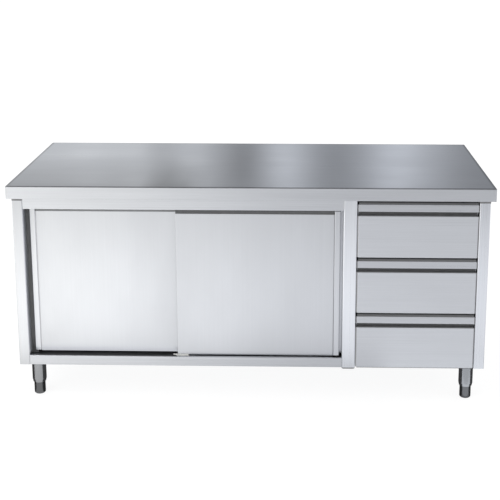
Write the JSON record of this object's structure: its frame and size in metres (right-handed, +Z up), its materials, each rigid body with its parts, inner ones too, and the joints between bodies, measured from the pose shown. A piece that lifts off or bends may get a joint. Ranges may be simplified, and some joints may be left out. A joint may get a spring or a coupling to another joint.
{
  "type": "stainless steel kitchen work table",
  "caption": "Commercial kitchen work table: folded steel worktop on a closed cabinet with hanging sliding doors, a drawer column and adjustable feet.",
  "frame": {"origin": "on the floor, below the centre of the worktop", "axes": "+X along the worktop towards the drawers, +Y from the door side to the back, +Z up"},
  "size_m": [1.8, 0.8, 0.85],
  "materials": {
    "worktop_steel": "satin grain along the table",
    "rail_steel": "satin grain along the table",
    "post_steel": "satin grain up the post",
    "panel_steel": "satin",
    "door_steel": "fine satin",
    "grip_steel": "satin",
    "drawer_steel": "fine satin",
    "frame_steel": "mill finish",
    "zinc_steel": "bright zinc plated",
    "foot_steel": "turned, dark",
    "plug_steel": "satin",
    "nylon": "matt white",
    "rubber": "matt black",
    "board": "raw board"
  },
  "bodies": {
    "cabinet": {"back_panel": "panel_steel", "base_channels": "frame_steel", "bottom_shelf": "rail_steel", "door_bumpers": "rubber", "door_guide": "frame_steel", "door_track": "frame_steel", "drawer_bay_floor": "panel_steel", "drawer_bay_liner": "panel_steel", "fixed_runners": "zinc_steel", "foot_bolts": "zinc_steel", "foot_plates": "frame_steel", "foot_sleeves": "foot_steel", "front_left_post": "post_steel", "front_middle_post": "post_steel", "front_right_post": "post_steel", "header_rail": "rail_steel", "left_side_panel": "panel_steel", "middle_shelf": "panel_steel", "partition_panel": "panel_steel", "post_end_plugs": "plug_steel", "rear_left_post": "post_steel", "rear_middle_post": "post_steel", "rear_right_post": "post_steel", "right_side_panel": "panel_steel", "shelf_supports": "frame_steel", "worktop_skin": "worktop_steel", "worktop_stiffeners": "frame_steel", "worktop_underlay": "board"},
    "left_door": {"left_door_edge_grip": "grip_steel", "left_door_hangers": "zinc_steel", "left_door_inner_skin": "door_steel", "left_door_outer_skin": "door_steel"},
    "left_door_left_roller": {"left_door_left_roller": "nylon"},
    "left_door_right_roller": {"left_door_right_roller": "nylon"},
    "right_door": {"right_door_edge_grip": "grip_steel", "right_door_hangers": "zinc_steel", "right_door_inner_skin": "door_steel", "right_door_outer_skin": "door_steel"},
    "right_door_left_roller": {"right_door_left_roller": "nylon"},
    "right_door_right_roller": {"right_door_right_roller": "nylon"},
    "drawer_1": {"drawer_1_front": "drawer_steel", "drawer_1_grip_bar": "grip_steel", "drawer_1_tray": "drawer_steel", "drawer_1_tray_runners": "zinc_steel"},
    "drawer_1_middle_runners": {"drawer_1_middle_runners": "zinc_steel"},
    "drawer_2": {"drawer_2_front": "drawer_steel", "drawer_2_grip_bar": "grip_steel", "drawer_2_tray": "drawer_steel", "drawer_2_tray_runners": "zinc_steel"},
    "drawer_2_middle_runners": {"drawer_2_middle_runners": "zinc_steel"},
    "drawer_3": {"drawer_3_front": "drawer_steel", "drawer_3_grip_bar": "grip_steel", "drawer_3_tray": "drawer_steel", "drawer_3_tray_runners": "zinc_steel"},
    "drawer_3_middle_runners": {"drawer_3_middle_runners": "zinc_steel"},
    "front_left_foot_insert": {"front_left_foot_insert": "foot_steel"},
    "front_right_foot_insert": {"front_right_foot_insert": "foot_steel"},
    "rear_left_foot_insert": {"rear_left_foot_insert": "foot_steel"},
    "rear_right_foot_insert": {"rear_right_foot_insert": "foot_steel"}
  },
  "joints": [
    {"name": "left_door_slide", "type": "slide", "parent": "cabinet", "child": "left_door", "axis": [1, 0, 0], "range_m": [-0.019, 0.555]},
    {"name": "left_door_left_roller_spin", "type": "hinge", "parent": "left_door", "child": "left_door_left_roller", "pos_m": [-0.7225, -0.328, 0.7753], "axis": [0, 1, 0], "continuous": true},
    {"name": "left_door_right_roller_spin", "type": "hinge", "parent": "left_door", "child": "left_door_right_roller", "pos_m": [-0.3225, -0.328, 0.7753], "axis": [0, 1, 0], "continuous": true},
    {"name": "right_door_slide", "type": "slide", "parent": "cabinet", "child": "right_door", "axis": [1, 0, 0], "range_m": [-0.555, 0.0105]},
    {"name": "right_door_left_roller_spin", "type": "hinge", "parent": "right_door", "child": "right_door_left_roller", "pos_m": [-0.1725, -0.357, 0.7753], "axis": [0, 1, 0], "continuous": true},
    {"name": "right_door_right_roller_spin", "type": "hinge", "parent": "right_door", "child": "right_door_right_roller", "pos_m": [0.2275, -0.357, 0.7753], "axis": [0, 1, 0], "continuous": true},
    {"name": "drawer_1_slide", "type": "slide", "parent": "cabinet", "child": "drawer_1", "axis": [0, -1, 0], "range_m": [0, 0.5]},
    {"name": "drawer_1_middle_runners_slide", "type": "slide", "parent": "cabinet", "child": "drawer_1_middle_runners", "axis": [0, -1, 0], "range_m": [0, 0.25]},
    {"name": "drawer_2_slide", "type": "slide", "parent": "cabinet", "child": "drawer_2", "axis": [0, -1, 0], "range_m": [0, 0.5]},
    {"name": "drawer_2_middle_runners_slide", "type": "slide", "parent": "cabinet", "child": "drawer_2_middle_runners", "axis": [0, -1, 0], "range_m": [0, 0.25]},
    {"name": "drawer_3_slide", "type": "slide", "parent": "cabinet", "child": "drawer_3", "axis": [0, -1, 0], "range_m": [0, 0.5]},
    {"name": "drawer_3_middle_runners_slide", "type": "slide", "parent": "cabinet", "child": "drawer_3_middle_runners", "axis": [0, -1, 0], "range_m": [0, 0.25]},
    {"name": "front_left_foot_height", "type": "slide", "parent": "cabinet", "child": "front_left_foot_insert", "axis": [0, 0, 1], "range_m": [-0.025, 0]},
    {"name": "front_right_foot_height", "type": "slide", "parent": "cabinet", "child": "front_right_foot_insert", "axis": [0, 0, 1], "range_m": [-0.025, 0]},
    {"name": "rear_left_foot_height", "type": "slide", "parent": "cabinet", "child": "rear_left_foot_insert", "axis": [0, 0, 1], "range_m": [-0.025, 0]},
    {"name": "rear_right_foot_height", "type": "slide", "parent": "cabinet", "child": "rear_right_foot_insert", "axis": [0, 0, 1], "range_m": [-0.025, 0]}
  ],
  "couplings": [
    {"joint": "left_door_left_roller_spin", "follows": "left_door_slide", "rad_per_m": 100},
    {"joint": "left_door_right_roller_spin", "follows": "left_door_slide", "rad_per_m": 100},
    {"joint": "right_door_left_roller_spin", "follows": "right_door_slide", "rad_per_m": 100},
    {"joint": "right_door_right_roller_spin", "follows": "right_door_slide", "rad_per_m": 100},
    {"joint": "drawer_1_middle_runners_slide", "follows": "drawer_1_slide", "ratio": 0.5},
    {"joint": "drawer_2_middle_runners_slide", "follows": "drawer_2_slide", "ratio": 0.5},
    {"joint": "drawer_3_middle_runners_slide", "follows": "drawer_3_slide", "ratio": 0.5}
  ]
}
